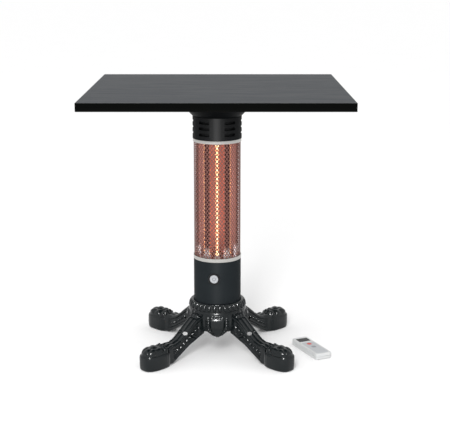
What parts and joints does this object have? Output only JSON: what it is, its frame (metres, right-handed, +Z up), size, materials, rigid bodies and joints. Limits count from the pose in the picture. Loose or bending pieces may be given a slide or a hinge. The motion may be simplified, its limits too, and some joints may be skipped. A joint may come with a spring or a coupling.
{
  "type": "outdoor table heater",
  "caption": "Square patio table on an infrared heating column with a caged lamp section and an ornate cast four-legged base, with a hand-held remote control lying beside the base.",
  "frame": {"origin": "on the floor, on the column's axis, under the middle of the square table top", "axes": "+Z up, -Y towards the front where the power button is, +X to the right seen from the front"},
  "size_m": [0.7, 0.7, 0.76],
  "materials": {
    "laminate": "satin dark wood-grain laminate",
    "band_black": "gloss",
    "black_steel": "satin charcoal powder coat",
    "zinc_steel": "zinc plated",
    "trim_steel": "fine brushed",
    "reflector_sheet": "mirror polished",
    "guard_steel": "bright expanded mesh",
    "quartz": "clear quartz",
    "filament": "glowing",
    "cast_black": "black enamel on casting",
    "nylon": "matte",
    "black_plastic": "semi gloss",
    "silver_plastic": "silver satin",
    "circuit_green": "solder mask",
    "relay_blue": "gloss",
    "white_plastic": "satin",
    "grey_rubber": "matte",
    "red_rubber": "matte"
  },
  "bodies": {
    "heater": {"table_board": "laminate", "table_edge_band": "band_black", "table_flange": "black_steel", "head_shell": "black_steel", "lower_shell": "black_steel", "table_screw_1": "zinc_steel", "table_screw_2": "zinc_steel", "table_screw_3": "zinc_steel", "table_screw_4": "zinc_steel", "heat_baffle": "zinc_steel", "lower_lamp_plate": "zinc_steel", "upper_lamp_plate": "zinc_steel", "core_tube": "zinc_steel", "electronics_bracket": "zinc_steel", "tie_nut": "zinc_steel", "upper_trim_ring": "trim_steel", "lower_trim_ring": "trim_steel", "reflector_1": "reflector_sheet", "reflector_2": "reflector_sheet", "reflector_3": "reflector_sheet", "reflector_4": "reflector_sheet", "reflector_5": "reflector_sheet", "reflector_6": "reflector_sheet", "guard_mesh": "guard_steel", "quartz_tube_1": "quartz", "quartz_tube_2": "quartz", "quartz_tube_3": "quartz", "quartz_tube_4": "quartz", "quartz_tube_5": "quartz", "quartz_tube_6": "quartz", "filament_1": "filament", "filament_2": "filament", "filament_3": "filament", "filament_4": "filament", "filament_5": "filament", "filament_6": "filament", "base_hub": "cast_black", "base_leg_1": "cast_black", "base_leg_2": "cast_black", "base_leg_3": "cast_black", "base_leg_4": "cast_black", "foot_glide_1": "nylon", "foot_glide_2": "nylon", "foot_glide_3": "nylon", "foot_glide_4": "nylon", "cable_gland": "black_plastic", "button_bezel": "black_plastic", "push_switch": "black_plastic", "tip_switch_body": "black_plastic", "control_board": "circuit_green", "power_relay": "relay_blue"},
    "power_button": {"power_button": "silver_plastic"},
    "pendulum": {"tip_switch_pendulum": "zinc_steel"},
    "remote": {"remote_lower_case": "white_plastic", "remote_upper_case": "white_plastic", "remote_window": "black_plastic", "remote_keypad": "grey_rubber"},
    "remote_power_key": {"remote_power_key": "red_rubber"},
    "remote_mode_key": {"remote_mode_key": "white_plastic"},
    "battery_cover": {"remote_battery_cover": "white_plastic"}
  },
  "joints": [
    {"name": "power_button_press", "type": "slide", "parent": "heater", "child": "power_button", "axis": [0.1357, 0.9907, 0], "range_m": [0, 0.0015], "stiffness_N_per_m": 400},
    {"name": "pendulum_swing", "type": "hinge", "parent": "heater", "child": "pendulum", "pos_m": [-0.04, -0.008, 0.1413], "axis": [0, 1, 0], "range_deg": [-12, 12]},
    {"name": "remote_lift", "type": "slide", "parent": "heater", "child": "remote", "axis": [0, 0, 1], "range_m": [0, 0.35]},
    {"name": "power_key_press", "type": "slide", "parent": "remote", "child": "remote_power_key", "axis": [0, 0, -1], "range_m": [0, 0.0008], "stiffness_N_per_m": 300},
    {"name": "mode_key_press", "type": "slide", "parent": "remote", "child": "remote_mode_key", "axis": [0, 0, -1], "range_m": [0, 0.0008], "stiffness_N_per_m": 300},
    {"name": "battery_cover_slide", "type": "slide", "parent": "remote", "child": "battery_cover", "axis": [0.4226, -0.9063, 0], "range_m": [0, 0.066]}
  ]
}
